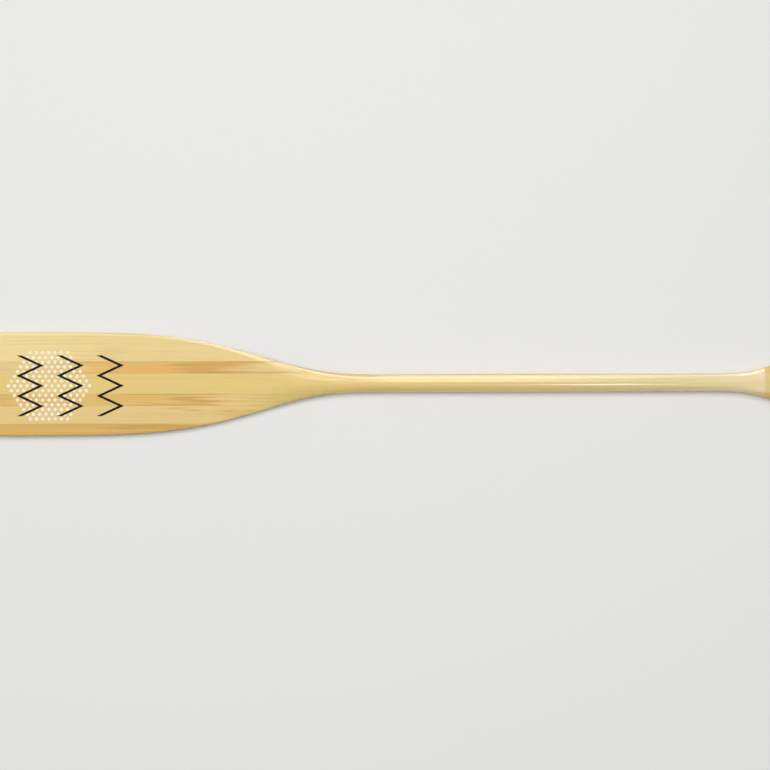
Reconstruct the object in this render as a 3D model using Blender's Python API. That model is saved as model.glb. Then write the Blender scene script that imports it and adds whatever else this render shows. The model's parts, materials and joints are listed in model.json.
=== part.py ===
"""Canoe paddle, glued up from planks and carved.

Metres, +Z up: it lies face up, with the blade tip at -X and the grip at +X.
"""

import math

import bmesh
import bpy

# Lengths in order, from the blade tip to the end of the grip
TIP_LENGTH = 0.068
SHOULDER_LENGTH = 0.645
SHAFT_LENGTH = 0.449
FLARE_LENGTH = 0.208
GRIP_CAP_LENGTH = 0.030

# Shaft and grip, finished
SHAFT_WIDTH = 0.0289
SHAFT_THICKNESS = 0.0315
SHAFT_SWELL = 0.0009
CHEEK_WIDTH = 0.0163
GRIP_THICKNESS = 0.0270

# Planks, with the wood that carving takes off each face of the stock
PLANING = 0.00175
INNER_STAVE_WIDTH = 0.0202
MIDDLE_STAVE_WIDTH = 0.0292
OUTER_STAVE_WIDTH = 0.0192
GLUE_GAP = 0.0003

# Blade, finished
BLADE_THICKNESS = 0.0080
EDGE_THICKNESS = 0.0055
EDGE_ROUNDING = 0.0060
EDGE_TAPER = 0.0320
THROAT_LENGTH = 0.300

# Resin guard cast round the tip, over a tongue on the wood
GUARD_WIDTH = 0.0130
GUARD_REACH = 0.0400
TONGUE_WIDTH = 0.1100
TONGUE_SHARE = 1 / 3

# Exponents of the curves: the higher, the squarer or the later the bend
TIP_FULLNESS = 2.4
SHOULDER_BEND = (4.5, 5.0)
FLARE_BEND = (2.0, 12.9)
CAP_FULLNESS = 2.1
GRIP_FULLNESS = 2.4
LENS_SHARE = 0.5
CORNER_SOFTNESS = 4

# Half width, in edge tapers, under which the taper is squeezed with the outline
TAPER_ROOM = 1.5

# Fineness of the mesh
TIP_STEPS = 13
SHOULDER_STEPS = 28
SHAFT_STEPS = 8
FLARE_STEPS = 18
CAP_STEPS = 9
EDGE_STEPS = 5
TAPER_STEPS = 3
GUARD_ARC_STEPS = 24
SAWN_ANGLE = math.radians(45)
SAME_POINT = 1e-7

# Sizes that follow
SHOULDER_START = TIP_LENGTH
SHAFT_START = SHOULDER_START + SHOULDER_LENGTH
FLARE_START = SHAFT_START + SHAFT_LENGTH
CAP_START = FLARE_START + FLARE_LENGTH
LENGTH = CAP_START + GRIP_CAP_LENGTH
SHAFT_MIDDLE = SHAFT_START + SHAFT_LENGTH / 2
THROAT_START = SHAFT_START - THROAT_LENGTH
STOCK_WIDTH = SHAFT_WIDTH + SHAFT_SWELL + 2 * PLANING
CORE_THICKNESS = BLADE_THICKNESS + 2 * PLANING
INNER_EDGE = STOCK_WIDTH / 2 + INNER_STAVE_WIDTH
MIDDLE_EDGE = INNER_EDGE + MIDDLE_STAVE_WIDTH
BLADE_WIDTH = 2 * (MIDDLE_EDGE + OUTER_STAVE_WIDTH)
GRIP_WIDTH = STOCK_WIDTH + 2 * CHEEK_WIDTH
GRIP_ROUNDING = GRIP_THICKNESS / 2
AXIS_HEIGHT = (SHAFT_THICKNESS + SHAFT_SWELL) / 2
QUARTER_STEPS = EDGE_STEPS + TAPER_STEPS + 2

# Woods and resin: colour, roughness
BASSWOOD = ((0.82, 0.64, 0.29), 0.30)
HEARTWOOD = ((0.76, 0.48, 0.16), 0.30)
PINE = ((0.72, 0.50, 0.18), 0.30)
DARK_PINE = ((0.66, 0.41, 0.13), 0.30)
RESIN = ((0.55, 0.33, 0.12), 0.22)


def smooth(share):
    """0 to 1 with level ends."""
    share = min(max(share, 0.0), 1.0)
    return share * share * (3 - 2 * share)


def mix(start, end, share):
    return start + (end - start) * share


def rounded(share, fullness):
    """A round end: 1 where it begins, 0 at its very end."""
    return (1 - min(max(share, 0.0), 1.0) ** fullness) ** (1 / fullness)


def sweep(share, bend):
    """A carved sweep from 1 down to 0, as where a blade narrows into its shaft."""
    first, second = bend
    return (1 - min(max(share, 0.0), 1.0) ** first) ** second


def swell(x):
    """How much of the shaft's swell there is at x."""
    return math.sin(math.pi * min(max((x - SHAFT_START) / SHAFT_LENGTH, 0.0), 1.0))


def half_width(x):
    """Half of the outline's width, x from the tip."""
    shaft = (SHAFT_WIDTH + SHAFT_SWELL * swell(x)) / 2
    if x < SHOULDER_START:
        return BLADE_WIDTH / 2 * rounded((SHOULDER_START - x) / TIP_LENGTH, TIP_FULLNESS)
    if x < SHAFT_MIDDLE:
        return mix(shaft, BLADE_WIDTH / 2, sweep((x - SHOULDER_START) / SHOULDER_LENGTH, SHOULDER_BEND))
    if x < CAP_START:
        return mix(shaft, GRIP_WIDTH / 2, sweep((CAP_START - x) / FLARE_LENGTH, FLARE_BEND))
    return GRIP_WIDTH / 2 * rounded((x - CAP_START) / GRIP_CAP_LENGTH, CAP_FULLNESS)


def nearer(first, second):
    """The smaller of two distances, with a soft corner where they are alike."""
    if min(first, second) <= 0:
        return 0.0
    return (first**-CORNER_SOFTNESS + second**-CORNER_SOFTNESS) ** (-1 / CORNER_SOFTNESS)


def half_blade(inset):
    """Half of the blade's thickness at this distance in from its edge."""
    edge = EDGE_THICKNESS / 2 * rounded(1 - inset / EDGE_ROUNDING, 2)
    taper = smooth((inset - EDGE_ROUNDING) / (EDGE_TAPER - EDGE_ROUNDING))
    return mix(edge, BLADE_THICKNESS / 2, taper)


def half_thickness(x):
    """Half of the thickness on the centre line."""
    shaft = (SHAFT_THICKNESS + SHAFT_SWELL * swell(x)) / 2
    if x < SHAFT_MIDDLE:
        return mix(half_blade(x), shaft, smooth((x - THROAT_START) / THROAT_LENGTH))
    grip = mix(shaft, GRIP_THICKNESS / 2, smooth((x - FLARE_START) / FLARE_LENGTH))
    return grip * rounded(1 - (LENGTH - x) / GRIP_ROUNDING, 2)


def quarter_section(x):
    """(y, z) from the edge to the centre line: flat in the blade, oval in the shaft and grip."""
    wide, thick = half_width(x), half_thickness(x)
    oval = smooth((x - THROAT_START) / (THROAT_LENGTH * LENS_SHARE))
    fullness = mix(2, GRIP_FULLNESS, smooth((x - FLARE_START) / FLARE_LENGTH))
    turns = [math.pi / 2 * i / EDGE_STEPS for i in range(EDGE_STEPS + 1)]
    insets = [EDGE_ROUNDING * (1 - math.cos(turn)) for turn in turns]
    insets += [mix(EDGE_ROUNDING, EDGE_TAPER, (i + 1) / TAPER_STEPS) for i in range(TAPER_STEPS)]
    crowd = min(1, wide / (TAPER_ROOM * EDGE_TAPER))
    insets = [inset * crowd for inset in insets]
    insets += [(insets[-1] + wide) / 2, wide]
    section = []
    for i, inset in enumerate(insets):
        angle = math.pi / 2 * i / QUARTER_STEPS
        oval_y = wide * max(math.cos(angle), 0) ** (2 / fullness) if i < QUARTER_STEPS else 0
        oval_z = thick * math.sin(angle) ** (2 / fullness)
        blade_z = half_blade(nearer(inset / crowd, x))
        section.append((mix(wide - inset, oval_y, oval), mix(blade_z, oval_z, oval)))
    return section


def ring(x):
    """The whole section at x, counter-clockwise from the +Y edge as seen from the grip."""
    quarter = quarter_section(x)
    upper = quarter + [(-y, z) for y, z in reversed(quarter[:-1])]
    return [(x, y, z) for y, z in upper] + [(x, y, -z) for y, z in reversed(upper[1:-1])]


def stations():
    """Places along the paddle, closer together where it is rounded."""
    tip_turns = [math.pi / 2 * i / TIP_STEPS for i in range(1, TIP_STEPS)]
    cap_turns = [math.pi / 2 * i / CAP_STEPS for i in range(CAP_STEPS)]
    places = [TIP_LENGTH * (1 - math.cos(turn) ** (2 / TIP_FULLNESS)) for turn in tip_turns]
    for start, length, steps in (
        (SHOULDER_START, SHOULDER_LENGTH, SHOULDER_STEPS),
        (SHAFT_START, SHAFT_LENGTH, SHAFT_STEPS),
        (FLARE_START, FLARE_LENGTH, FLARE_STEPS),
    ):
        places += [start + length * i / steps for i in range(steps)]
    return places + [CAP_START + GRIP_CAP_LENGTH * math.sin(turn) for turn in cap_turns]


def new_object(name, mesh, helper=False):
    """Turns a bmesh into an object. A helper is only for making other objects."""
    obj = bpy.data.objects.new(name, bpy.data.meshes.new(name))
    bmesh.ops.recalc_face_normals(mesh, faces=mesh.faces)
    mesh.to_mesh(obj.data)
    mesh.free()
    bpy.context.scene.collection.objects.link(obj)
    if helper:
        obj.hide_render = True
        obj.display_type = "WIRE"
    return obj


def carved_paddle():
    """The whole paddle as one skin, before it is parted along its glue lines."""
    mesh = bmesh.new()
    rings = [[mesh.verts.new(corner) for corner in ring(x)] for x in stations()]
    for lower, upper in zip(rings, rings[1:]):
        for i in range(len(lower)):
            mesh.faces.new((lower[i - 1], lower[i], upper[i], upper[i - 1]))
    for end, closing in ((0, rings[0]), (LENGTH, rings[-1])):
        pole = mesh.verts.new((end, 0, 0))
        for i in range(len(closing)):
            mesh.faces.new((closing[i - 1], closing[i], pole))
    return new_object("carved_paddle", mesh, helper=True)


def prism(name, outline, half_height):
    """A cutter: the outline, drawn from above, made this high both ways."""
    mesh = bmesh.new()
    base = mesh.faces.new([mesh.verts.new((x, y, -half_height)) for x, y in outline])
    extruded = bmesh.ops.extrude_face_region(mesh, geom=[base])["geom"]
    raised = [part for part in extruded if isinstance(part, bmesh.types.BMVert)]
    bmesh.ops.translate(mesh, verts=raised, vec=(0, 0, 2 * half_height))
    return new_object(name, mesh, helper=True)


def combined(obj, cutter, operation, name, helper=True):
    """A new object with the Boolean's result. The first one stays as it was."""
    boolean = obj.modifiers.new(operation.title(), "BOOLEAN")
    boolean.operation = operation
    boolean.object = cutter
    mesh = bmesh.new()
    mesh.from_object(obj, bpy.context.evaluated_depsgraph_get())
    obj.modifiers.remove(boolean)
    return new_object(name, mesh, helper)


def wood_outline(name, clearance):
    """The space that the wood takes at the tip: up to the guard's inner arc, and its tongue beyond it."""
    reach_width = half_width(GUARD_REACH)
    depth = GUARD_REACH - GUARD_WIDTH
    radius = (depth**2 + reach_width**2) / (2 * depth)
    centre = GUARD_WIDTH + radius
    far = LENGTH + BLADE_WIDTH

    def arc(arc_radius, half_span):
        last = math.asin(half_span / arc_radius)
        angles = [last * (2 * i / GUARD_ARC_STEPS - 1) for i in range(GUARD_ARC_STEPS + 1)]
        return [
            (centre - arc_radius * math.cos(angle), arc_radius * math.sin(angle))
            for angle in angles
        ]

    shoulder = arc(radius + clearance, reach_width)
    corner_x = shoulder[0][0]
    lower = [(far, -BLADE_WIDTH), (corner_x, -BLADE_WIDTH)]
    upper = [(corner_x, BLADE_WIDTH), (far, BLADE_WIDTH)]
    wood = prism(name, lower + shoulder + upper, BLADE_WIDTH)
    tongue_span = TONGUE_WIDTH / 2 + clearance
    tongue_arc = arc(radius + GUARD_WIDTH / 2 + clearance, tongue_span)
    tongue = [(centre, -tongue_span)] + tongue_arc + [(centre, tongue_span)]
    tongue_prism = prism(name + "_tongue", tongue, EDGE_THICKNESS * TONGUE_SHARE / 2 + clearance)
    return combined(wood, tongue_prism, "UNION", name + "_with_tongue")


def between(axis, low, high):
    """The two planes that keep what lies between low and high along an axis. None is no plane."""
    planes = []
    for limit, direction in ((low, 1), (high, -1)):
        if limit is not None:
            point = [0.0, 0.0, 0.0]
            normal = [0.0, 0.0, 0.0]
            point[axis] = limit + direction * GLUE_GAP / 2
            normal[axis] = direction
            planes.append((point, normal))
    return planes


def sawn(blank, name, *planes):
    """The part of the blank that is on the kept side of each plane, closed again."""
    mesh = bmesh.new()
    mesh.from_mesh(blank.data)
    for point, normal in planes:
        bmesh.ops.bisect_plane(
            mesh,
            geom=mesh.verts[:] + mesh.edges[:] + mesh.faces[:],
            dist=SAME_POINT,
            plane_co=point,
            plane_no=normal,
            clear_inner=True,
        )
        open_edges = [edge for edge in mesh.edges if edge.is_boundary]
        bmesh.ops.holes_fill(mesh, edges=open_edges, sides=0)
    return new_object(name, mesh)


def varnished(colour, roughness, name):
    material = bpy.data.materials.new(name)
    material.use_nodes = True
    shader = material.node_tree.nodes["Principled BSDF"]
    shader.inputs["Base Color"].default_value = (*colour, 1)
    shader.inputs["Roughness"].default_value = roughness
    shader.inputs["Metallic"].default_value = 0
    return material


def finish(obj, look, paddle):
    """Smooth sides with sharp sawn edges, its own material, and its place under the paddle's empty."""
    obj.data.shade_smooth()
    obj.data.set_sharp_from_angle(angle=SAWN_ANGLE)
    obj.data.materials.append(varnished(*look, obj.name))
    obj.parent = paddle


def build():
    for old in list(bpy.data.objects):
        bpy.data.objects.remove(old)
    paddle = bpy.data.objects.new("paddle", None)
    paddle.location = (-LENGTH / 2, 0, AXIS_HEIGHT)
    bpy.context.scene.collection.objects.link(paddle)

    carved = carved_paddle()
    blank = combined(carved, wood_outline("wood", 0), "INTERSECT", "blank")
    guard_space = wood_outline("wood_grown", GLUE_GAP)
    finish(combined(carved, guard_space, "DIFFERENCE", "tip_guard", helper=False), RESIN, paddle)

    stock = between(1, -STOCK_WIDTH / 2, STOCK_WIDTH / 2)
    half_core = CORE_THICKNESS / 2
    finish(sawn(blank, "shaft_core", *stock, *between(2, -half_core, half_core)), BASSWOOD, paddle)
    finish(sawn(blank, "shaft_front_lamination", *stock, *between(2, half_core, None)), BASSWOOD, paddle)
    finish(sawn(blank, "shaft_back_lamination", *stock, *between(2, None, -half_core)), BASSWOOD, paddle)

    edges = (STOCK_WIDTH / 2, INNER_EDGE, MIDDLE_EDGE, None)
    staves = (
        ("inner", edges[0:2], HEARTWOOD, PINE),
        ("middle", edges[1:3], BASSWOOD, BASSWOOD),
        ("outer", edges[2:4], BASSWOOD, DARK_PINE),
    )
    blade = between(0, None, SHAFT_MIDDLE)
    grip = between(0, SHAFT_MIDDLE, None)
    for name, (near, far), left_look, right_look in staves:
        finish(sawn(blank, f"blade_{name}_stave_left", *between(1, near, far), *blade), left_look, paddle)
        right = between(1, None if far is None else -far, -near)
        finish(sawn(blank, f"blade_{name}_stave_right", *right, *blade), right_look, paddle)
    finish(sawn(blank, "grip_cheek_left", *between(1, STOCK_WIDTH / 2, None), *grip), PINE, paddle)
    finish(sawn(blank, "grip_cheek_right", *between(1, None, -STOCK_WIDTH / 2), *grip), PINE, paddle)
    for obj in list(bpy.data.objects):
        if obj.hide_render:
            bpy.data.objects.remove(obj)


build()
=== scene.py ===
# %% [markdown]
# # A laminated canoe paddle
#
# The paddle is glued up from seven planks across the blade and three through the shaft, then
# carved, varnished and oiled. Its shape and its planks come from a CAD model, which this
# lesson loads first. The lesson then smooths the carved planks, fills their glue lines, gives
# every plank a wood of its own, prints a pattern on the blade and lights it all.

import json
import math

import bpy
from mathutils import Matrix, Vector

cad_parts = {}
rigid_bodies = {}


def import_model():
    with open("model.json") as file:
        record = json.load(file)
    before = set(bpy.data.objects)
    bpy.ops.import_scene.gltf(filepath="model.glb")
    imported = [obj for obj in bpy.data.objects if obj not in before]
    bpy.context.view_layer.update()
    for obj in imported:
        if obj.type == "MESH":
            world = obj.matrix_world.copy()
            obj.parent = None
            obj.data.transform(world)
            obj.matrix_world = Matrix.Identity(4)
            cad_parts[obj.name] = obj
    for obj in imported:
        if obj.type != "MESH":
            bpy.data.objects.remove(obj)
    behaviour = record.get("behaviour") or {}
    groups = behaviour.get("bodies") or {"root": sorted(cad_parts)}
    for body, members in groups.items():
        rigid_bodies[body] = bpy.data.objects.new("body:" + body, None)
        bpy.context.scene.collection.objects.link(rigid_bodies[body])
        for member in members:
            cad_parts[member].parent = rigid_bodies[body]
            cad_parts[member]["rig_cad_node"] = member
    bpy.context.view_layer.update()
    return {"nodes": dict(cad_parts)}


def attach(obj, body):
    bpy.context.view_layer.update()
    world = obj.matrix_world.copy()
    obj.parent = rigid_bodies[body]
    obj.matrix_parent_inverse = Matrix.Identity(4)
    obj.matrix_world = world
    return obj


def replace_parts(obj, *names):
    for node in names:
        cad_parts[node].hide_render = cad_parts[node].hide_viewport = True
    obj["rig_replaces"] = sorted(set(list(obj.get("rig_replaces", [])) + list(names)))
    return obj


for old in list(bpy.data.objects):
    bpy.data.objects.remove(old)
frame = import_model()
nodes = frame["nodes"]

# %% [markdown]
# ## The camera
#
# The photograph looks straight down on a paddle that is longer than the picture, so both ends
# are cut off. A long lens far above keeps the edges parallel, as in the photograph. The
# distance follows from the lens, the sensor and the stretch of paddle that has to show. The
# paddle lies a seventh of a degree askew in the picture, so the camera is turned by as much.

# %% Camera straight above
SHOWN_LENGTH = 1.2705
SHOWN_MIDDLE = (-0.001, -0.003)
PADDLE_HEIGHT = 0.016
LENS = 120
SENSOR = 36
ASKEW = math.radians(-0.137)

camera_height = PADDLE_HEIGHT + SHOWN_LENGTH * LENS / SENSOR
bpy.ops.object.camera_add(location=(*SHOWN_MIDDLE, camera_height), rotation=(0, 0, ASKEW))
camera = bpy.context.object
camera.data.lens = LENS
camera.data.sensor_width = SENSOR
bpy.context.scene.camera = camera
print("camera", round(camera_height, 2), "m up")

# %% [markdown]
# ## The studio
#
# One large soft panel hangs overhead, a little to the paddle's left, and shades both sides of
# the shaft. Varnish also shows its lights, so the other lamps are only there to be reflected.
# A bright low panel, a dim high one and a card on the floor draw the whitish sheen along the
# left side of the shaft. Another high panel and card give the blade its pale rim. The blade
# gets no low panel, because its flat face would mirror it whenever it is seen from the right.
# A small lamp draws the thin streak along the middle of the shaft.


# %% Lamps
def panel(name, place, aim, size, power, only_reflected=False):
    """A soft rectangular lamp, which either lights things or is only reflected in them."""
    direction = Vector(aim) - Vector(place)
    turn = direction.to_track_quat("-Z", "Y").to_euler()
    bpy.ops.object.light_add(type="AREA", location=place, rotation=turn)
    lamp = bpy.context.object
    lamp.name = lamp.data.name = name
    lamp.data.shape = "RECTANGLE"
    lamp.data.size, lamp.data.size_y = size
    lamp.data.energy = power
    lamp.visible_camera = False
    lamp.visible_diffuse = not only_reflected
    lamp.visible_glossy = only_reflected


# Name, place, aim, size and power
REFLECTED_PANELS = (
    ("low_sheen_shaft", (0.30, 4.8, 1.4), (0.30, 0, 1.4), (1.2, 2.8), 95),
    ("high_sheen_shaft", (0.22, 2.8, 4.2), (0.22, 0, 0), (0.90, 3.1), 58),
    ("high_sheen_blade", (-1.35, 2.8, 4.2), (-1.35, 0, 0), (1.5, 3.1), 50),
    ("shaft_card", (0.36, 0.2, 0.002), (0.36, 0.2, 1), (0.75, 0.3), 2.1),
    ("blade_card", (-0.5, 0.2, 0.002), (-0.5, 0.2, 1), (0.6, 0.3), 1.1),
    ("streak_lamp", (0.554, -0.90, 2.0), (0.38, 0, 0), (0.20, 0.22), 6.5),
)

panel("key_panel", (-0.3, 1.0, 5.1), (0, 0, 0), (5.6, 3.1), 251)
for reflected in REFLECTED_PANELS:
    panel(*reflected, only_reflected=True)
print(1 + len(REFLECTED_PANELS), "lamps")

# %% [markdown]
# ## Finishes are trees of nodes
#
# In Blender the look of a floor, a wood or a varnish is a tree of shader nodes, whose sockets
# are linked to each other. Written out, each node and each link would take a line. So three
# small helpers do it: one adds a node with its inputs, one does a sum, and one makes a soft
# step from 0 to 1. A finish then reads from top to bottom, like a recipe.


# %% Helpers for node trees
def shader_node(tree, kind, inputs=(), **settings):
    """A shader node. Each input gets a number, a colour or another node's socket."""
    made = tree.nodes.new("ShaderNode" + kind)
    for name, value in settings.items():
        setattr(made, name, value)
    for name, value in dict(inputs).items():
        if isinstance(value, bpy.types.NodeSocket):
            tree.links.new(value, made.inputs[name])
        else:
            made.inputs[name].default_value = value
    return made


def calc(tree, operation, first, second=0.0):
    """The result of one Math node."""
    return shader_node(tree, "Math", {0: first, 1: second}, operation=operation).outputs[0]


def ramp(tree, value, low, high):
    """0 up to low, 1 from high on, and a smooth step between."""
    sockets = {"Value": value, "From Min": low, "From Max": high}
    return shader_node(tree, "MapRange", sockets, interpolation_type="SMOOTHSTEP").outputs[0]


print("helpers ready")

# %% [markdown]
# ## Room and floor
#
# The room gives a dim even light. Light Path tells what kind of ray meets it, so the room can
# look pale to the camera, and through glass, without lighting the paddle any more. Reflections
# get the same room at a lower strength, as under a dark ceiling, or the flat faces would turn
# milky and the black ink grey. The floor is painted almost white. Far from the paddle, where
# the lamps don't reach, it fades into the room, so that no dark horizon shows.

# %% Room
ROOM_LIGHT = 0.26
ROOM_LOOK = 0.85
ROOM_REFLECTED = 0.30


def room_look(tree):
    """The room's strength to the camera, through glass and in gloss, and 0 to other rays."""
    rays = shader_node(tree, "LightPath").outputs
    direct = calc(tree, "MAXIMUM", rays["Is Camera Ray"], rays["Is Transmission Ray"])
    direct = calc(tree, "MULTIPLY", direct, ROOM_LOOK)
    mirrored = calc(tree, "MULTIPLY", rays["Is Glossy Ray"], ROOM_REFLECTED)
    return calc(tree, "MAXIMUM", direct, mirrored)


scene = bpy.context.scene
scene.view_settings.view_transform = "Standard"
scene.world = bpy.data.worlds.new("pale_room")
scene.world.use_nodes = True
room = scene.world.node_tree
room.nodes["Background"].inputs["Color"].default_value = (1, 1, 1, 1)
strength = calc(room, "MAXIMUM", room_look(room), ROOM_LIGHT)
room.links.new(strength, room.nodes["Background"].inputs["Strength"])
print("room light", ROOM_LIGHT)

# %% Floor
FLOOR_SIDE = 60
FLOOR_COLOUR = (0.80, 0.80, 0.79, 1)
FLOOR_ROUGHNESS = 0.8
FADE_START, FADE_END = 0.95, 2.2

bpy.ops.mesh.primitive_plane_add(size=FLOOR_SIDE)
floor = bpy.context.object
floor.name = "floor"
floor_paint = bpy.data.materials.new("floor_paint")
floor_paint.use_nodes = True
paint = floor_paint.node_tree
matt = paint.nodes["Principled BSDF"]
matt.inputs["Base Color"].default_value = FLOOR_COLOUR
matt.inputs["Roughness"].default_value = FLOOR_ROUGHNESS
matt.inputs["Specular IOR Level"].default_value = 0
spot = shader_node(paint, "TexCoord").outputs["Object"]
distance = shader_node(paint, "VectorMath", {0: spot}, operation="LENGTH").outputs["Value"]
look = room_look(paint)
is_seen = calc(paint, "GREATER_THAN", look, 0.0)
fading = calc(paint, "MULTIPLY", ramp(paint, distance, FADE_START, FADE_END), is_seen)
glow = shader_node(paint, "Emission", {"Strength": look}).outputs[0]
mixed = shader_node(paint, "MixShader", {0: fading, 1: matt.outputs[0], 2: glow}).outputs[0]
paint.links.new(mixed, paint.nodes["Material Output"].inputs["Surface"])
floor.data.materials.append(floor_paint)
print("floor", FLOOR_SIDE, "m across")

# %% [markdown]
# ## From CAD facets to a carved surface
#
# The CAD planks are flat facets. On the real paddle the carver's spokeshave and sandpaper
# leave one flowing surface that is cut only by the glue lines. So each plank is copied, its
# loose triangles are merged, and pairs of triangles become the four-sided faces that a
# Subdivision Surface likes. The sawn edges get a full crease first, which keeps them sharp
# while everything else is rounded.

# %% Planks as carved
SAME_POINT = 1e-6
SAWN_EDGE = math.radians(45)
QUAD_BEND = math.radians(20)
QUAD_SKEW = math.radians(60)
CARVING_LEVELS = 2


def pick(*objects):
    """Selects only these, with the first one active."""
    bpy.ops.object.select_all(action="DESELECT")
    for obj in objects:
        obj.select_set(True)
    bpy.context.view_layer.objects.active = objects[0]


def edit(kind):
    """Edit mode with nothing selected, ready to select this kind of element."""
    bpy.ops.object.mode_set(mode="EDIT")
    bpy.ops.mesh.select_mode(type=kind)
    bpy.ops.mesh.select_all(action="DESELECT")


def carved(node, name):
    """A smooth copy of a CAD plank that stands for it."""
    pick(nodes[node])
    bpy.ops.object.duplicate()
    piece = bpy.context.object
    piece.name = piece.data.name = name
    del piece["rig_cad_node"]
    bpy.ops.mesh.customdata_custom_splitnormals_clear()
    edit("VERT")
    bpy.ops.mesh.select_all(action="SELECT")
    bpy.ops.mesh.remove_doubles(threshold=SAME_POINT)
    bpy.ops.mesh.tris_convert_to_quads(face_threshold=QUAD_BEND, shape_threshold=QUAD_SKEW)
    edit("EDGE")
    bpy.ops.mesh.edges_select_sharp(sharpness=SAWN_EDGE)
    bpy.ops.transform.edge_crease(value=1)
    bpy.ops.object.mode_set(mode="OBJECT")
    smoothing = piece.modifiers.new("Carving", "SUBSURF")
    smoothing.levels = smoothing.render_levels = CARVING_LEVELS
    bpy.ops.object.modifier_apply(modifier=smoothing.name)
    bpy.ops.object.shade_smooth_by_angle(angle=SAWN_EDGE)
    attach(piece, "root")
    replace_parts(piece, node)
    return piece


planks = {}
for node in sorted(nodes):
    planks[node] = carved(node, "carved_" + node)
faces = sum(len(piece.data.polygons) for piece in planks.values())
print(faces, "faces on", len(planks), "planks")

# %% [markdown]
# ## Glue lines
#
# The planks are held by glue, and the CAD leaves the thickness of a glue film between them.
# Each film is made from the sawn face of a plank: a copy of the plank keeps only that flat
# face, and Solidify gives it the thickness of the film. So its edge ends flush with the carved
# surface all round, and the joint shows as a fine line, as on a real laminated paddle. The
# guard round the tip is cast onto the wood, so its film copies every face that looks back at
# the wood.

# %% Glue films
GLUE_THICKNESS = 0.0003
FLAT_ENOUGH = 0.999
SAME_PLANE = 0.00002
LEFT, RIGHT = Vector((0, 1, 0)), Vector((0, -1, 0))
UP, DOWN = Vector((0, 0, 1)), Vector((0, 0, -1))


def face_copy(piece, name, kept):
    """A copy of a piece with only the faces for which kept(face) is true."""
    pick(piece)
    bpy.ops.object.duplicate()
    sheet = bpy.context.object
    sheet.name = sheet.data.name = name
    del sheet["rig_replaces"]
    edit("FACE")
    bpy.ops.object.mode_set(mode="OBJECT")
    for face in sheet.data.polygons:
        face.select = not kept(face)
    bpy.ops.object.mode_set(mode="EDIT")
    bpy.ops.mesh.delete(type="FACE")
    bpy.ops.object.mode_set(mode="OBJECT")
    return sheet


def thicken(sheet, thickness):
    """Gives a sheet its thickness on its outer side."""
    pick(sheet)
    wall = sheet.modifiers.new("Thickness", "SOLIDIFY")
    wall.thickness = thickness
    wall.offset = 1
    wall.use_even_offset = True
    bpy.ops.object.modifier_apply(modifier=wall.name)
    bpy.ops.object.shade_smooth_by_angle(angle=SAWN_EDGE)
    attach(sheet, "root")


def glue_film(plank, towards):
    """The film between a plank and the next one in this direction."""
    piece = planks[plank]
    reach = max(vertex.co @ towards for vertex in piece.data.vertices)

    def is_sawn(face):
        looks_there = face.normal @ towards > FLAT_ENOUGH
        return looks_there and reach - face.center @ towards < SAME_PLANE

    film = face_copy(piece, "glue_line_" + plank, is_sawn)
    thicken(film, GLUE_THICKNESS)
    return film


glue_films = []
for part in ("blade_inner_stave", "blade_middle_stave", "blade_outer_stave", "grip_cheek"):
    glue_films.append(glue_film(part + "_left", RIGHT))
    glue_films.append(glue_film(part + "_right", LEFT))
glue_films.append(glue_film("shaft_front_lamination", DOWN))
glue_films.append(glue_film("shaft_back_lamination", UP))
faces = sum(len(film.data.polygons) for film in glue_films)
print(len(glue_films), "glue films with", faces, "faces")

# %% The joint of the tip guard
FACES_WOOD = 0.3

guard = planks["tip_guard"]
tip_film = face_copy(guard, "glue_line_tip_guard", lambda face: face.normal.x > FACES_WOOD)
thicken(tip_film, GLUE_THICKNESS)
glue_films.append(tip_film)
print("tip joint filled with", len(tip_film.data.polygons), "faces")

# %% [markdown]
# ## Wood that goes all the way through
#
# A plank is a slice of a tree, so its pattern is made in three dimensions: rings round a heart
# line, with the plank cut from somewhere beside it. The same rings then show as long stripes on
# the faces, as arches where the cut runs across them, and as curves on the end grain, with no
# seams. One node group makes the wood. Every plank places it with a Mapping node, as a sawyer
# picks a place in the log, and gives it its own ring width and colours.


# %% Helpers for wood
NOISE_MIDDLE = 0.5


def blend(tree, share, first, second, way="MIX"):
    """The result of one Mix node for colours."""
    sockets = {0: share, 6: first, 7: second}
    return shader_node(tree, "Mix", sockets, data_type="RGBA", blend_type=way).outputs[2]


def grain_noise(tree, place, waves, detail=2.0):
    """Soft noise drawn out along the grain, with this many waves to the metre each way."""
    sockets = {0: place, 1: waves}
    stretched = shader_node(tree, "VectorMath", sockets, operation="MULTIPLY").outputs[0]
    noise = {"Vector": stretched, "Scale": 1.0, "Detail": detail}
    return shader_node(tree, "TexNoise", noise).outputs[0]


def sway(tree, place, waves):
    """The same noise, evened out about zero."""
    return calc(tree, "SUBTRACT", grain_noise(tree, place, waves), NOISE_MIDDLE)


def new_group(name, inputs, outputs):
    """An empty node group with named sockets: its tree, its inputs and its outputs."""
    tree = bpy.data.node_groups.new(name, "ShaderNodeTree")
    for socket, kind, value in inputs:
        made = tree.interface.new_socket(socket, in_out="INPUT", socket_type="NodeSocket" + kind)
        if value is not None:
            made.default_value = value
    for socket, kind in outputs:
        tree.interface.new_socket(socket, in_out="OUTPUT", socket_type="NodeSocket" + kind)
    group_in = tree.nodes.new("NodeGroupInput")
    group_out = tree.nodes.new("NodeGroupOutput")
    return tree, group_in.outputs, group_out.inputs


print("wood helpers ready")

# %% Growth rings
ELSEWHERE = (0.31, 0.17, 0.23)
WANDER_Y, WANDER_Z = (4, 22, 22), (5, 26, 26)
RING_STEEPNESS = 3.0
FAINTEST_YEAR = 0.35

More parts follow.
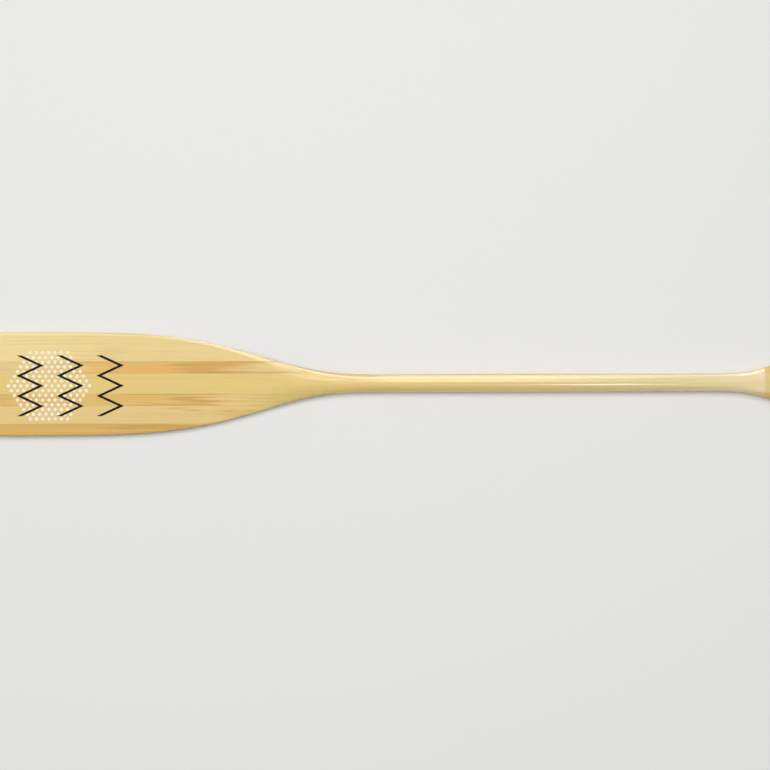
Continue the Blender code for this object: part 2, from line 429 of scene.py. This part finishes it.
wood, wood_in, wood_out = new_group(
    "wood",
    [
        ("Place", "Vector", None),
        ("Ring Width", "Float", 0.0025),
        ("Ring Strength", "Float", 0.5),
        ("Wander", "Float", 0.004),
        ("Early Wood", "Color", (0.8, 0.6, 0.3, 1)),
        ("Late Wood", "Color", (0.6, 0.4, 0.15, 1)),
    ],
    [("Colour", "Color"), ("Height", "Float"), ("Roughness", "Float")],
)
in_log = wood_in["Place"]
spot = shader_node(wood, "SeparateXYZ", {0: in_log}).outputs
moved = {0: in_log, 1: ELSEWHERE}
elsewhere = shader_node(wood, "VectorMath", moved, operation="ADD").outputs[0]
off_y = calc(wood, "MULTIPLY", sway(wood, in_log, WANDER_Y), wood_in["Wander"])
off_z = calc(wood, "MULTIPLY", sway(wood, elsewhere, WANDER_Z), wood_in["Wander"])
log_y = calc(wood, "ADD", spot["Y"], off_y)
log_z = calc(wood, "ADD", spot["Z"], off_z)
from_heart = shader_node(wood, "CombineXYZ", {"Y": log_y, "Z": log_z}).outputs[0]
radius = shader_node(wood, "VectorMath", {0: from_heart}, operation="LENGTH").outputs["Value"]
years = calc(wood, "DIVIDE", radius, wood_in["Ring Width"])
year = {"W": calc(wood, "FLOOR", years)}
this_year = shader_node(wood, "TexWhiteNoise", year, noise_dimensions="1D").outputs[0]
dark_end = calc(wood, "POWER", calc(wood, "FRACT", years), RING_STEEPNESS)
ring = calc(wood, "MULTIPLY", dark_end, calc(wood, "ADD", this_year, FAINTEST_YEAR))
print("rings made of", len(wood.nodes), "nodes")

# %% Stripes, fibres and pores
STRIPE_WAVES, STRIPE_DETAIL, STRIPE_STRENGTH = (1.6, 90, 90), 3, 0.9
FIBRE_WAVES = (16, 1500, 1500)
PORE_WAVES, PORE_DETAIL = (90, 3200, 3200), 1
PORE_START, PORE_FULL = 0.62, 0.74
PLAIN_SHADE, FIBRE_SHADE, PORE_SHADE = 0.95, 0.10, 0.10
WOOD_ROUGHNESS, FIBRE_ROUGHNESS = 0.35, 0.2

stripes = grain_noise(wood, in_log, STRIPE_WAVES, STRIPE_DETAIL)
stripes = calc(wood, "SUBTRACT", stripes, NOISE_MIDDLE)
stripes = calc(wood, "MULTIPLY", stripes, STRIPE_STRENGTH)
late = calc(wood, "ADD", calc(wood, "MULTIPLY", ring, wood_in["Ring Strength"]), stripes)
fibres = grain_noise(wood, in_log, FIBRE_WAVES)
pores = grain_noise(wood, in_log, PORE_WAVES, PORE_DETAIL)
pores = ramp(wood, pores, PORE_START, PORE_FULL)
shade = calc(wood, "ADD", calc(wood, "MULTIPLY", fibres, FIBRE_SHADE), PLAIN_SHADE)
shade = calc(wood, "SUBTRACT", shade, calc(wood, "MULTIPLY", pores, PORE_SHADE))
plain = blend(wood, late, wood_in["Early Wood"], wood_in["Late Wood"])
wood.links.new(blend(wood, 1.0, plain, shade, "MULTIPLY"), wood_out["Colour"])
height = calc(wood, "SUBTRACT", calc(wood, "ADD", fibres, late), pores)
wood.links.new(height, wood_out["Height"])
dull = calc(wood, "ADD", calc(wood, "MULTIPLY", fibres, FIBRE_ROUGHNESS), WOOD_ROUGHNESS)
wood.links.new(dull, wood_out["Roughness"])
print("wood group with", len(wood.nodes), "nodes")

# %% [markdown]
# ## Streaks
#
# A pale plank can carry a tongue of darker heartwood that starts and ends somewhere along it,
# or dark gum beside a glue line. Such a streak has a place on the plank and a length along the
# grain, and it ends in ragged fingers, because it follows the fibres. A second group turns that
# into a mask, which then tints the wood.
# The same masks also paint light: sheen on the shaft near the grip, and shade along the lower
# side of the throat and the shaft.

# %% A streak along the grain
FINGER_WAVES, FINGER_REACH = (3, 260, 260), 2.5
BEND_WAVES, BEND_REACH = (9, 20, 20), 3.0

streak, streak_in, streak_out = new_group(
    "streak",
    [
        ("Place", "Vector", None),
        ("Start", "Float", 0.0),
        ("End", "Float", 0.1),
        ("Fade", "Float", 0.03),
        ("Centre", "Float", 0.0),
        ("Half Width", "Float", 0.01),
        ("Softness", "Float", 0.002),
    ],
    [("Mask", "Float")],
)
on_plank = streak_in["Place"]
fade, soft = streak_in["Fade"], streak_in["Softness"]
spot = shader_node(streak, "SeparateXYZ", {0: on_plank}).outputs
fingers = calc(streak, "MULTIPLY", sway(streak, on_plank, FINGER_WAVES), fade)
fingers = calc(streak, "MULTIPLY", fingers, FINGER_REACH)
bends = calc(streak, "MULTIPLY", sway(streak, on_plank, BEND_WAVES), soft)
bends = calc(streak, "MULTIPLY", bends, BEND_REACH)
along = calc(streak, "ADD", spot["X"], fingers)
across = calc(streak, "ADD", calc(streak, "SUBTRACT", spot["Y"], streak_in["Centre"]), bends)
across = calc(streak, "ABSOLUTE", across)
half_width = streak_in["Half Width"]
begun = ramp(streak, along, streak_in["Start"], calc(streak, "ADD", streak_in["Start"], fade))
over = ramp(streak, along, calc(streak, "SUBTRACT", streak_in["End"], fade), streak_in["End"])
inner = calc(streak, "SUBTRACT", half_width, soft)
outer = calc(streak, "ADD", half_width, soft)
beside = ramp(streak, across, inner, outer)
not_over = calc(streak, "SUBTRACT", 1.0, over)
not_beside = calc(streak, "SUBTRACT", 1.0, beside)
within = calc(streak, "MULTIPLY", not_over, not_beside)
streak.links.new(calc(streak, "MULTIPLY", begun, within), streak_out["Mask"])
print("streak group with", len(streak.nodes), "nodes")

# %% [markdown]
# ## Varnish and oil
#
# The blade and shaft are varnished: a clear hard coat with sharp reflections over the wood. The
# grip is only oiled, because bare wood is kinder to the hand, and so it looks deeper and
# duller. The varnish is the shader's own Coat. Where the grip begins, its weight drops to
# nothing along a slightly uneven line, as the masking tape left it, and the wood is darker.
# The flat blade is rubbed down to a satin, so that it doesn't glare at low angles. Layer Weight
# knows how steeply a face is seen, and takes the blade's coat back where the view is low.

# %% The end of the varnish
VARNISH_END = 0.6243
TAPE_EDGE = 0.0008
TAPE_WAVES = (60, 160, 160)

varnish, varnish_in, varnish_out = new_group(
    "varnish", [("Place", "Vector", None)], [("Coat", "Float"), ("Oiled", "Float")]
)
on_paddle = varnish_in["Place"]
tape_line = shader_node(varnish, "SeparateXYZ", {0: on_paddle}).outputs["X"]
waver = calc(varnish, "MULTIPLY", sway(varnish, on_paddle, TAPE_WAVES), TAPE_EDGE)
tape_line = calc(varnish, "ADD", tape_line, waver)
oiled = ramp(varnish, tape_line, VARNISH_END - TAPE_EDGE / 2, VARNISH_END + TAPE_EDGE / 2)
varnish.links.new(oiled, varnish_out["Oiled"])
varnish.links.new(calc(varnish, "SUBTRACT", 1.0, oiled), varnish_out["Coat"])
print("varnish ends at", VARNISH_END)

# %% [markdown]
# ## A wood for each plank
#
# The woods come from the photograph's planks: pale basswood with hardly any figure, a plank
# with an orange tongue of heartwood, and pine whose rings show as arches and wavy lines. A
# straight plank is cut far out to the side of the heart line, so its rings run straight down
# through it. A plank with arches is cut above the heart line and tilted a little to it, so the
# face runs out through one ring after another.

# %% A varnished material
COAT_ROUGHNESS = 0.18
BARE_SHINE, COATED_SHINE = 0.15, 0.02
SATIN = 0.94
SATIN_FROM, SATIN_FULL = 0.30, 0.60
BLADE_END, SHAFT_START = -0.14, -0.06
OIL_TINT = (0.90, 0.84, 0.66, 1)


def group_node(tree, group, place, values):
    """Places a node group in a material and fills its sockets."""
    made = shader_node(tree, "Group", node_tree=group)
    for socket, value in {"Place": place, **values}.items():
        if isinstance(value, bpy.types.NodeSocket):
            tree.links.new(value, made.inputs[socket])
        else:
            made.inputs[socket].default_value = value
    return made.outputs


def satin_coat(tree, here):
    """The weight of the varnish: full, but less on the blade where it is seen low."""
    along = shader_node(tree, "SeparateXYZ", {0: here}).outputs["X"]
    on_blade = calc(tree, "SUBTRACT", 1.0, ramp(tree, along, BLADE_END, SHAFT_START))
    low_view = shader_node(tree, "LayerWeight", {"Blend": 0.5}).outputs["Facing"]
    rubbed = calc(tree, "MULTIPLY", ramp(tree, low_view, SATIN_FROM, SATIN_FULL), on_blade)
    return calc(tree, "SUBTRACT", 1.0, calc(tree, "MULTIPLY", rubbed, SATIN))


def new_material(name, has_grip=False):
    """A varnished material: its tree, its shader and the socket that tells the place."""
    material = bpy.data.materials.new(name)
    material.use_nodes = True
    tree = material.node_tree
    here = shader_node(tree, "TexCoord").outputs["Object"]
    coat = satin_coat(tree, here)
    if has_grip:
        coat = calc(tree, "MULTIPLY", coat, group_node(tree, varnish, here, {})["Coat"])
    shader = tree.nodes["Principled BSDF"]
    tree.links.new(coat, shader.inputs["Coat Weight"])
    shader.inputs["Coat Roughness"].default_value = COAT_ROUGHNESS
    shine = BARE_SHINE if has_grip else COATED_SHINE
    shader.inputs["Specular IOR Level"].default_value = shine
    return tree, shader, here


def oiled_grip(tree, here, colour):
    """Tints the wood beyond the varnish as oil does."""
    share = group_node(tree, varnish, here, {})["Oiled"]
    return blend(tree, share, colour, OIL_TINT, "MULTIPLY")


print("varnish roughness", COAT_ROUGHNESS)

# %% A plank's own wood
GRAIN_STRENGTH, GRAIN_DEPTH = 0.5, 0.00006
STREAK_SOCKETS = ("Start", "End", "Fade", "Centre", "Half Width", "Softness")
RING_SOCKETS = ("Ring Width", "Ring Strength", "Wander")


def wood_material(name, log, tilt, rings, woods, streaks=(), has_grip=False):
    """Wood from one place in a log. woods are the colours of early and late wood."""
    tree, shader, here = new_material(name, has_grip)
    early, late = woods
    for *shape, strength, (tint, dark_tint) in streaks:
        mask = group_node(tree, streak, here, dict(zip(STREAK_SOCKETS, shape)))["Mask"]
        share = calc(tree, "MULTIPLY", mask, strength)
        early = blend(tree, share, early, tint)
        late = blend(tree, share, late, dark_tint)
    turn = [math.radians(angle) for angle in tilt]
    sawn_at = {"Vector": here, "Location": log, "Rotation": turn}
    in_log = shader_node(tree, "Mapping", sawn_at).outputs[0]
    values = dict(zip(RING_SOCKETS, rings))
    timber = group_node(tree, wood, in_log, {**values, "Early Wood": early, "Late Wood": late})
    colour = oiled_grip(tree, here, timber["Colour"]) if has_grip else timber["Colour"]
    grain = {"Strength": GRAIN_STRENGTH, "Distance": GRAIN_DEPTH, "Height": timber["Height"]}
    tree.links.new(colour, shader.inputs["Base Color"])
    tree.links.new(timber["Roughness"], shader.inputs["Roughness"])
    tree.links.new(shader_node(tree, "Bump", grain).outputs[0], shader.inputs["Normal"])
    return bpy.data.materials[name]


def dress(piece, material):
    """Gives a piece its material."""
    piece.data.materials.clear()
    piece.data.materials.append(material)


print("grain", GRAIN_DEPTH, "m deep")

# %% Colours of the woods, early and late
BLOND = (0.875, 0.70, 0.32, 1), (0.775, 0.57, 0.22, 1)
PALE = (0.815, 0.625, 0.267, 1), (0.715, 0.505, 0.17, 1)
TAN = (0.77, 0.575, 0.245, 1), (0.655, 0.44, 0.147, 1)
CORE = (0.77, 0.57, 0.19, 1), (0.66, 0.45, 0.13, 1)
# The shaft's colour is the core's made a little paler and whiter: partly the laminations' own
# tone, partly painted light on the round shaft.
SHAFT = (0.79, 0.58, 0.212, 1), (0.68, 0.455, 0.145, 1)
# Buff and ivory are partly paler wood and partly painted sheen on the shaft towards the grip.
BUFF_AND_SHEEN = (0.76, 0.60, 0.285, 1), (0.67, 0.49, 0.19, 1)
IVORY_AND_SHEEN = (0.84, 0.68, 0.385, 1), (0.76, 0.58, 0.285, 1)
ROSY = (0.79, 0.575, 0.232, 1), (0.675, 0.43, 0.138, 1)
PINE = (0.74, 0.50, 0.152, 1), (0.59, 0.34, 0.084, 1)
DEEP = (0.725, 0.46, 0.125, 1), (0.59, 0.335, 0.08, 1)
ORANGE = (0.765, 0.455, 0.116, 1), (0.66, 0.35, 0.084, 1)
AMBER = (0.62, 0.36, 0.09, 1), (0.52, 0.28, 0.07, 1)
UMBER = (0.52, 0.31, 0.09, 1), (0.44, 0.25, 0.07, 1)
# The olive below is painted shade, for the lower side of the throat and the shaft.
PAINTED_SHADE_OLIVE = (0.70, 0.53, 0.175, 1), (0.60, 0.44, 0.13, 1)
print("fourteen woods")

# %% The shaft's woods
core_wood = wood_material(
    "core_basswood",
    log=(0.2, 0.13, -0.02),
    tilt=(0, 0, 0.3),
    rings=(0.0022, 0.35, 0.006),
    woods=CORE,
    has_grip=True,
)
# On the laminations: the core's colour where they run out at the throat, so no step shows there;
# buff and ivory towards the grip, partly paler wood and partly painted sheen; and an olive band
# of painted shade along the shaft's lower side.
shaft_tones_and_painted_light = [
    (-0.400, -0.060, 0.140, 0.0, 0.0400, 0.0010, 1.0, CORE),
    (0.200, 1.000, 0.200, 0.0, 0.0400, 0.0010, 1.0, BUFF_AND_SHEEN),
    (0.430, 1.000, 0.160, 0.0, 0.0400, 0.0010, 1.0, IVORY_AND_SHEEN),
    (-0.220, 0.200, 0.100, -0.0140, 0.0070, 0.0050, 0.6, PAINTED_SHADE_OLIVE),
]
front_wood = wood_material(
    "front_basswood",
    log=(1.1, 0.15, 0.01),
    tilt=(0, 0, 0.2),
    rings=(0.0024, 0.35, 0.006),
    woods=SHAFT,
    streaks=shaft_tones_and_painted_light,
    has_grip=True,
)
back_wood = wood_material(
    "back_basswood",
    log=(2.3, -0.14, 0.02),
    tilt=(0, 0, 0.3),
    rings=(0.0021, 0.35, 0.006),
    woods=SHAFT,
    streaks=shaft_tones_and_painted_light,
    has_grip=True,
)
dress(planks["shaft_core"], core_wood)
dress(planks["shaft_front_lamination"], front_wood)
dress(planks["shaft_back_lamination"], back_wood)
print("three shaft planks dressed")

# %% The pale planks of the blade
cloudy_marks = [
    (-0.490, -0.415, 0.030, 0.0500, 0.0100, 0.0050, 0.6, TAN),
    (-0.400, -0.315, 0.040, 0.0480, 0.0080, 0.0060, 0.5, TAN),
    (-0.320, -0.240, 0.040, 0.0420, 0.0040, 0.0040, 0.4, ROSY),
]
blond_end = [(-1.200, -0.430, 0.200, 0.0500, 0.0500, 0.0010, 0.7, BLOND)]
pale_left = wood_material(
    "pale_basswood_left",
    log=(3.2, 0.10, 0.01),
    tilt=(0, 0, 0.4),
    rings=(0.0026, 0.30, 0.007),
    woods=PALE,
    streaks=[*blond_end, *cloudy_marks],
)
pale_edge = wood_material(
    "pale_basswood_edge",
    log=(4.4, -0.16, 0.0),
    tilt=(0, 0, 0.2),
    rings=(0.0028, 0.30, 0.007),
    woods=PALE,
    streaks=blond_end,
)
gum_marks_and_painted_shade = [
    (-0.390, -0.310, 0.040, -0.0405, 0.0012, 0.0010, 0.6, AMBER),
    (-0.345, -0.290, 0.030, -0.0440, 0.0009, 0.0009, 0.7, UMBER),
    (-0.268, -0.243, 0.012, -0.0452, 0.0010, 0.0009, 0.8, UMBER),
    (-0.236, -0.205, 0.014, -0.0446, 0.0008, 0.0008, 0.7, UMBER),
    # The last mark is painted shade, darkening the plank along the blade's lower edge at the
    # throat.
    (-0.290, -0.200, 0.040, -0.0480, 0.0080, 0.0040, 0.5, PINE),
]
rosy_wood = wood_material(
    "rosy_basswood",
    log=(5.5, 0.075, -0.045),
    tilt=(0, 0.5, 0),
    rings=(0.0024, 0.40, 0.010),
    woods=ROSY,
    streaks=gum_marks_and_painted_shade,
)
dress(planks["blade_middle_stave_left"], pale_left)
dress(planks["blade_outer_stave_left"], pale_edge)
dress(planks["blade_middle_stave_right"], rosy_wood)
print("three pale planks dressed")

# %% The plank with the orange heartwood
heart_tongue = [
    (-0.560, -0.195, 0.110, 0.0268, 0.0130, 0.0030, 0.90, ORANGE),
    (-0.540, -0.440, 0.060, 0.0352, 0.0016, 0.0012, 0.70, AMBER),
    (-0.360, -0.225, 0.050, 0.0262, 0.0085, 0.0040, 0.70, AMBER),
    (-0.370, -0.195, 0.045, 0.0310, 0.0026, 0.0018, 0.75, AMBER),
    (-0.330, -0.170, 0.050, 0.0255, 0.0009, 0.0009, 0.70, AMBER),
    (-0.400, -0.165, 0.100, 0.0358, 0.0016, 0.0012, 0.80, AMBER),
    (-0.380, -0.110, 0.060, 0.0182, 0.0018, 0.0012, 0.50, UMBER),
]
heart_wood = wood_material(
    "heartwood_plank",
    log=(6.6, -0.015, -0.050),
    tilt=(0, 0.4, 0),
    rings=(0.0024, 0.35, 0.008),
    woods=TAN,
    streaks=heart_tongue,
)
dress(planks["blade_inner_stave_left"], heart_wood)
print("heartwood plank dressed")

# %% The pine planks
pine_streaks = [
    (-0.900, -0.235, 0.120, -0.0268, 0.0130, 0.0030, 0.90, PINE),
    (-0.760, -0.580, 0.080, -0.0268, 0.0130, 0.0030, 0.50, AMBER),
    (-0.500, -0.310, 0.060, -0.0222, 0.0042, 0.0030, 0.80, ORANGE),
    (-0.375, -0.270, 0.045, -0.0258, 0.0045, 0.0030, 0.85, AMBER),
    (-0.350, -0.275, 0.040, -0.0300, 0.0030, 0.0025, 0.60, AMBER),
    (-0.480, -0.235, 0.060, -0.0175, 0.0010, 0.0008, 0.60, UMBER),
    (-0.460, -0.250, 0.060, -0.0350, 0.0009, 0.0009, 0.60, UMBER),
    # The olive streak is painted shade along the throat's lower side, partly the plank's own
    # olive tone.
    (-0.250, 0.400, 0.070, -0.0268, 0.0130, 0.0030, 0.90, PAINTED_SHADE_OLIVE),
]
pine = wood_material(
    "wavy_pine",
    log=(7.7, 0.040, -0.040),
    tilt=(0, 0.8, 0),
    rings=(0.0026, 0.65, 0.012),
    woods=ROSY,
    streaks=pine_streaks,
)
deep_streaks = [
    (-0.480, -0.300, 0.070, -0.0700, 0.0045, 0.0030, 0.55, UMBER),
    (-0.410, -0.300, 0.050, -0.0760, 0.0060, 0.0030, 0.40, AMBER),
]
deep_pine = wood_material(
    "deep_pine",
    log=(8.8, 0.11, -0.030),
    tilt=(0, 0.5, 0.3),
    rings=(0.0026, 0.60, 0.008),
    woods=DEEP,
    streaks=deep_streaks,
)
dress(planks["blade_inner_stave_right"], pine)
dress(planks["blade_outer_stave_right"], deep_pine)
print("two pine planks dressed")

# %% The grip's cheeks
left_cheek = wood_material(
    "cheek_basswood_left",
    log=(9.9, 0.09, 0.02),
    tilt=(0, 0, 0.4),
    rings=(0.0024, 0.45, 0.008),
    woods=PALE,
    has_grip=True,
)
right_cheek = wood_material(
    "cheek_basswood_right",
    log=(11.0, -0.12, 0.0),
    tilt=(0, 0, 0.4),
    rings=(0.0026, 0.45, 0.008),
    woods=ROSY,
    has_grip=True,
)
dress(planks["grip_cheek_left"], left_cheek)
dress(planks["grip_cheek_right"], right_cheek)
print("two cheeks dressed")

# %% [markdown]
# ## Glue and resin
#
# Wood glue dries to an amber film that is darker than the wood, with small air bubbles in it.
# The guard round the tip is cast resin: the same amber, but thick enough to look deep, with
# slow clouds in it and a few paler specks of filler.

# %% Amber
GLUE, DARK_GLUE = (0.66, 0.47, 0.18, 1), (0.55, 0.36, 0.12, 1)
RESIN, DARK_RESIN = (0.58, 0.35, 0.12, 1), (0.42, 0.23, 0.07, 1)
FILLER = (0.78, 0.62, 0.36, 1)
GLUE_CLOUD, GLUE_SPECK = 0.004, 0.0006
RESIN_CLOUD, RESIN_SPECK = 0.012, 0.0009
CLOUD_START, CLOUD_FULL = 0.35, 0.65
SPECK_START, SPECK_FULL, SPECK_STRENGTH = 0.62, 0.72, 0.35
AMBER_ROUGHNESS, CLOUD_ROUGHNESS = 0.25, 0.15
RIPPLE_STRENGTH, RIPPLE_DEPTH = 0.3, 0.0001


def amber_material(name, clear, dark, cloud_size, speck_size, has_grip=False):
    """Resin or glue, with clouds and specks of these sizes in metres."""
    tree, shader, here = new_material(name, has_grip)
    cloudy = {"Vector": here, "Scale": 1 / cloud_size, "Detail": 3.0}
    clouds = shader_node(tree, "TexNoise", cloudy).outputs[0]
    specky = {"Vector": here, "Scale": 1 / speck_size, "Detail": 1.0}
    specks = shader_node(tree, "TexNoise", specky).outputs[0]
    colour = blend(tree, ramp(tree, clouds, CLOUD_START, CLOUD_FULL), dark, clear)
    specks = calc(tree, "MULTIPLY", ramp(tree, specks, SPECK_START, SPECK_FULL), SPECK_STRENGTH)
    colour = blend(tree, specks, colour, FILLER)
    colour = oiled_grip(tree, here, colour) if has_grip else colour
    dull = calc(tree, "ADD", calc(tree, "MULTIPLY", clouds, CLOUD_ROUGHNESS), AMBER_ROUGHNESS)
    ripple = {"Strength": RIPPLE_STRENGTH, "Distance": RIPPLE_DEPTH, "Height": clouds}
    tree.links.new(colour, shader.inputs["Base Color"])
    tree.links.new(dull, shader.inputs["Roughness"])
    tree.links.new(shader_node(tree, "Bump", ripple).outputs[0], shader.inputs["Normal"])
    return bpy.data.materials[name]


glue = amber_material("amber_glue", GLUE, DARK_GLUE, GLUE_CLOUD, GLUE_SPECK, has_grip=True)
for film in glue_films:
    dress(film, glue)
resin = amber_material("cast_resin", RESIN, DARK_RESIN, RESIN_CLOUD, RESIN_SPECK)
dress(guard, resin)
print("glue and guard dressed")

# %% [markdown]
# ## A printed pattern
#
# The blade is screen printed before it is varnished. The print here is a plain pattern of this
# lesson's own: a field of small white diamonds, and three black zigzag lines across the blade.
# Ink has a thickness, so it is modelled as a thin skin. One diamond and one zigzag are drawn
# flat and copied. Then Shrinkwrap drops them onto the planks, so the print follows the blade
# where it thins towards its edges, and Solidify gives the ink its body.

# %% White diamonds
PRINT_PLACE = (-0.555, -0.003)
FIELD_HALF = 0.071
DIAMOND = 0.0070
PITCH = (0.0103, 0.0078)
ABOVE = 0.030


def repeated(obj, offset, count):
    """Repeats a flat shape in a row."""
    row = obj.modifiers.new("Row", "ARRAY")
    row.count = count
    row.use_relative_offset = False
    row.use_constant_offset = True
    row.constant_offset_displace = offset
    bpy.ops.object.modifier_apply(modifier=row.name)


def placed(obj):
    """Puts a piece's place into its mesh."""
    pick(obj)
    bpy.ops.object.transform_apply(location=True, rotation=True, scale=True)


def choose(obj, kind, test):
    """Edit mode with those faces or vertices selected that pass a test."""
    edit(kind)
    bpy.ops.object.mode_set(mode="OBJECT")
    for element in obj.data.polygons if kind == "FACE" else obj.data.vertices:
        element.select = test(element)
    bpy.ops.object.mode_set(mode="EDIT")


columns = round(2 * FIELD_HALF / PITCH[0])
rows = round(FIELD_HALF / PITCH[1])
corner = (PRINT_PLACE[0] - columns * PITCH[0] / 2, PRINT_PLACE[1] - rows * PITCH[1], ABOVE)
bpy.ops.object.select_all(action="DESELECT")
bpy.ops.mesh.primitive_circle_add(
    vertices=4, radius=DIAMOND / 2, fill_type="NGON", location=corner
)
diamonds = bpy.context.object
repeated(diamonds, (PITCH[0], 0, 0), columns + 1)
repeated(diamonds, (0, 2 * PITCH[1], 0), rows + 1)
bpy.ops.object.duplicate_move(TRANSFORM_OT_translate={"value": (PITCH[0] / 2, PITCH[1], 0)})
between_rows = bpy.context.object
placed(between_rows)
placed(diamonds)
pick(diamonds, between_rows)
bpy.ops.object.join()
diamonds.name = diamonds.data.name = "print_diamonds"
print(len(diamonds.data.polygons), "diamonds")

# %% Trimmed to a six-sided field
HEX = math.cos(math.pi / 6)


def outside_field(face):
    """Whether a diamond lies outside the six-sided field."""
    out_x, out_y = abs(face.center.x - PRINT_PLACE[0]), abs(face.center.y - PRINT_PLACE[1])
    return max(out_y, out_x * HEX + out_y / 2) > FIELD_HALF * HEX


choose(diamonds, "FACE", outside_field)
bpy.ops.mesh.delete(type="FACE")
bpy.ops.object.mode_set(mode="OBJECT")
print(len(diamonds.data.polygons), "diamonds left")

# %% One black zigzag
STROKE = 0.0039
TOOTH = (0.036, 0.0167)
TEETH = 6
STROKE_CUTS = 7
ZIGZAG_PLACES = (-0.604, -0.538, -0.472)

first_y = PRINT_PLACE[1] + TEETH * TOOTH[1] / 2
first_middle = (ZIGZAG_PLACES[0], first_y - TOOTH[1] / 2, ABOVE)
bpy.ops.object.select_all(action="DESELECT")
bpy.ops.mesh.primitive_plane_add(size=1, location=first_middle)
zigzag = bpy.context.object
zigzag.scale = (STROKE * math.hypot(*TOOTH) / TOOTH[1], TOOTH[1], 1)
placed(zigzag)
choose(zigzag, "VERT", lambda vertex: vertex.co.y < first_y - TOOTH[1] / 2)
bpy.ops.transform.translate(value=(TOOTH[0], 0, 0))
for tooth in range(1, TEETH):
    along_x = TOOTH[0] if tooth % 2 == 0 else -TOOTH[0]
    bpy.ops.mesh.extrude_region_move(TRANSFORM_OT_translate={"value": (along_x, -TOOTH[1], 0)})
bpy.ops.mesh.select_all(action="SELECT")
bpy.ops.mesh.normals_make_consistent(inside=False)
bpy.ops.mesh.subdivide(number_cuts=STROKE_CUTS)
bpy.ops.object.mode_set(mode="OBJECT")
print("a zigzag of", len(zigzag.data.polygons), "faces")

# %% Three of them
zigzags = [zigzag]
for place_x in ZIGZAG_PLACES[1:]:
    pick(zigzag)
    offset = (place_x - ZIGZAG_PLACES[0], 0, 0)
    bpy.ops.object.duplicate_move(TRANSFORM_OT_translate={"value": offset})
    zigzags.append(bpy.context.object)
    placed(zigzags[-1])
pick(*zigzags)
bpy.ops.object.join()
zigzag.name = zigzag.data.name = "print_zigzags"
print(len(zigzags), "zigzags")

# %% Printed on the planks
INK_GAP = 0.00002
WHITE_THICKNESS, BLACK_THICKNESS = 0.00004, 0.00009
BLADE_FILMS = 6

blade_planks = [planks[name] for name in planks if name.startswith(("blade", "shaft_core"))]
pick(*blade_planks, *glue_films[:BLADE_FILMS])
bpy.ops.object.duplicate()
bpy.ops.object.join()
blade_face = bpy.context.object


def printed(skin, thickness):
    """Drops a flat skin of ink onto the blade and gives it its thickness."""
    pick(skin)
    drop = skin.modifiers.new("Drop", "SHRINKWRAP")
    drop.target = blade_face
    drop.wrap_method = "PROJECT"
    drop.use_project_z = True
    drop.use_positive_direction = False
    drop.use_negative_direction = True
    drop.offset = INK_GAP
    bpy.ops.object.modifier_apply(modifier=drop.name)
    thicken(skin, thickness)


printed(diamonds, WHITE_THICKNESS)
printed(zigzag, BLACK_THICKNESS)
bpy.data.objects.remove(blade_face)
heights = [vertex.co.z for vertex in diamonds.data.vertices]
print("diamonds lie at heights from", round(min(heights), 5), "to", round(max(heights), 5))

# %% Inks
WHITE, THIN_WHITE = (0.90, 0.86, 0.74, 1), (0.84, 0.74, 0.50, 1)
BLACK, THIN_BLACK = (0.006, 0.004, 0.003, 1), (0.020, 0.013, 0.007, 1)
SCREEN_MESH, INK_PATCH = 0.0007, 0.006
WEAVE_START, WEAVE_FULL = 0.3, 0.8
PATCH_START, PATCH_FULL = 0.35, 0.75
INK_ROUGHNESS, PATCH_ROUGHNESS = 0.4, 0.2
DIMPLE_STRENGTH, DIMPLE_DEPTH = 0.3, 0.00002


def ink_material(name, thick, thin):
    """Screen ink, a little thinner wherever the mesh of the screen let less through."""
    tree, shader, here = new_material(name)
    meshed = {"Vector": here, "Scale": 1 / SCREEN_MESH}
    weave = shader_node(tree, "TexVoronoi", meshed).outputs["Distance"]
    patchy = {"Vector": here, "Scale": 1 / INK_PATCH, "Detail": 3.0}
    patches = shader_node(tree, "TexNoise", patchy).outputs[0]
    thinness = ramp(tree, weave, WEAVE_START, WEAVE_FULL)
    thinness = calc(tree, "MULTIPLY", thinness, ramp(tree, patches, PATCH_START, PATCH_FULL))
    tree.links.new(blend(tree, thinness, thick, thin), shader.inputs["Base Color"])
    dull = calc(tree, "ADD", calc(tree, "MULTIPLY", patches, PATCH_ROUGHNESS), INK_ROUGHNESS)
    tree.links.new(dull, shader.inputs["Roughness"])
    dimples = {"Strength": DIMPLE_STRENGTH, "Distance": DIMPLE_DEPTH, "Height": weave}
    tree.links.new(shader_node(tree, "Bump", dimples).outputs[0], shader.inputs["Normal"])
    return bpy.data.materials[name]


dress(diamonds, ink_material("white_ink", WHITE, THIN_WHITE))
dress(zigzag, ink_material("black_ink", BLACK, THIN_BLACK))
print("print inked")
